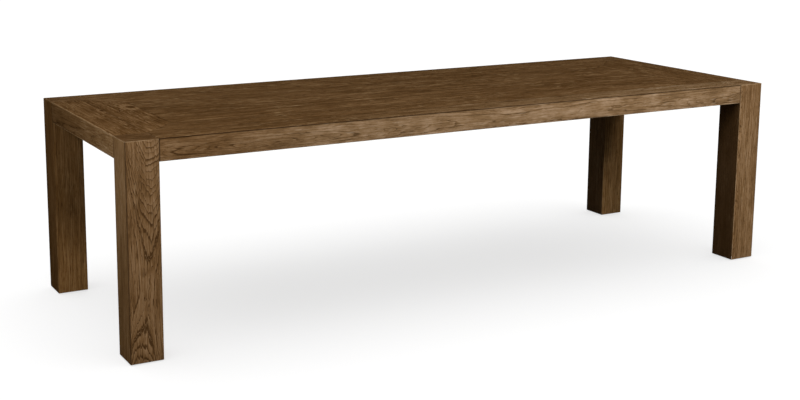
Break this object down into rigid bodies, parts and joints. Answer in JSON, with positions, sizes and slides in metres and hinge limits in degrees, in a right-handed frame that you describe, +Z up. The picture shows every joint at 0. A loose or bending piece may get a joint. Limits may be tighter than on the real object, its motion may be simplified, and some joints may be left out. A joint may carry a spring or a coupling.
{
  "type": "parsons dining table",
  "caption": "Long rectangular dining table with square legs flush to a shallow plain edge, wrapped in mitred dark oak boards on core timbers, on screw-in levelling feet.",
  "frame": {"origin": "middle of the table's footprint, on the floor", "axes": "+X along the length, +Y from the front to the back, +Z up"},
  "size_m": [2.794, 0.991, 0.762],
  "materials": {
    "oak_board": "dark stained, wire brushed, dull wax",
    "core_timber": "laminated, stained to match the oak",
    "panel_ply": "sealed plywood",
    "zinc_steel": "bright zinc plate",
    "black_nylon": "moulded, matt"
  },
  "bodies": {
    "table": {"back_apron": "oak_board", "back_border_board": "oak_board", "back_edge_board": "oak_board", "back_left_leg_board_back": "oak_board", "back_left_leg_board_front": "oak_board", "back_left_leg_board_left": "oak_board", "back_left_leg_board_right": "oak_board", "back_left_leg_cap": "oak_board", "back_left_leg_core": "core_timber", "back_rail": "core_timber", "back_right_leg_board_back": "oak_board", "back_right_leg_board_front": "oak_board", "back_right_leg_board_left": "oak_board", "back_right_leg_board_right": "oak_board", "back_right_leg_cap": "oak_board", "back_right_leg_core": "core_timber", "bearer_screws": "zinc_steel", "draw_bolt_nuts": "zinc_steel", "draw_bolt_washers": "zinc_steel", "draw_bolts": "zinc_steel", "field_plank_1": "oak_board", "field_plank_2": "oak_board", "field_plank_3": "oak_board", "field_plank_4": "oak_board", "foot_inserts": "zinc_steel", "front_apron": "oak_board", "front_border_board": "oak_board", "front_edge_board": "oak_board", "front_left_leg_board_back": "oak_board", "front_left_leg_board_front": "oak_board", "front_left_leg_board_left": "oak_board", "front_left_leg_board_right": "oak_board", "front_left_leg_cap": "oak_board", "front_left_leg_core": "core_timber", "front_rail": "core_timber", "front_right_leg_board_back": "oak_board", "front_right_leg_board_front": "oak_board", "front_right_leg_board_left": "oak_board", "front_right_leg_board_right": "oak_board", "front_right_leg_cap": "oak_board", "front_right_leg_core": "core_timber", "left_apron": "oak_board", "left_bearer": "core_timber", "left_border_board": "oak_board", "left_edge_board": "oak_board", "left_rail": "core_timber", "right_apron": "oak_board", "right_bearer": "core_timber", "right_border_board": "oak_board", "right_edge_board": "oak_board", "right_rail": "core_timber", "top_panel": "panel_ply"},
    "front_left_foot_pad": {"front_left_foot_pad": "black_nylon"},
    "front_left_foot_stem": {"front_left_foot_stem": "zinc_steel"},
    "front_right_foot_pad": {"front_right_foot_pad": "black_nylon"},
    "front_right_foot_stem": {"front_right_foot_stem": "zinc_steel"},
    "back_right_foot_pad": {"back_right_foot_pad": "black_nylon"},
    "back_right_foot_stem": {"back_right_foot_stem": "zinc_steel"},
    "back_left_foot_pad": {"back_left_foot_pad": "black_nylon"},
    "back_left_foot_stem": {"back_left_foot_stem": "zinc_steel"}
  },
  "joints": [
    {"name": "front_left_foot_travel", "type": "slide", "parent": "table", "child": "front_left_foot_pad", "axis": [0, 0, -1], "range_m": [0, 0.01201]},
    {"name": "front_left_foot_turn", "type": "hinge", "parent": "front_left_foot_pad", "child": "front_left_foot_stem", "pos_m": [-1.338, -0.4365, 0.02], "axis": [0, 0, -1], "range_deg": [0, 3456]},
    {"name": "front_right_foot_travel", "type": "slide", "parent": "table", "child": "front_right_foot_pad", "axis": [0, 0, -1], "range_m": [0, 0.01201]},
    {"name": "front_right_foot_turn", "type": "hinge", "parent": "front_right_foot_pad", "child": "front_right_foot_stem", "pos_m": [1.338, -0.4365, 0.02], "axis": [0, 0, -1], "range_deg": [0, 3456]},
    {"name": "back_right_foot_travel", "type": "slide", "parent": "table", "child": "back_right_foot_pad", "axis": [0, 0, -1], "range_m": [0, 0.01201]},
    {"name": "back_right_foot_turn", "type": "hinge", "parent": "back_right_foot_pad", "child": "back_right_foot_stem", "pos_m": [1.338, 0.4365, 0.02], "axis": [0, 0, -1], "range_deg": [0, 3456]},
    {"name": "back_left_foot_travel", "type": "slide", "parent": "table", "child": "back_left_foot_pad", "axis": [0, 0, -1], "range_m": [0, 0.01201]},
    {"name": "back_left_foot_turn", "type": "hinge", "parent": "back_left_foot_pad", "child": "back_left_foot_stem", "pos_m": [-1.338, 0.4365, 0.02], "axis": [0, 0, -1], "range_deg": [0, 3456]}
  ],
  "couplings": [
    {"joint": "front_left_foot_travel", "follows": "front_left_foot_turn", "m_per_rad": 0.00019894},
    {"joint": "front_right_foot_travel", "follows": "front_right_foot_turn", "m_per_rad": 0.00019894},
    {"joint": "back_right_foot_travel", "follows": "back_right_foot_turn", "m_per_rad": 0.00019894},
    {"joint": "back_left_foot_travel", "follows": "back_left_foot_turn", "m_per_rad": 0.00019894}
  ]
}
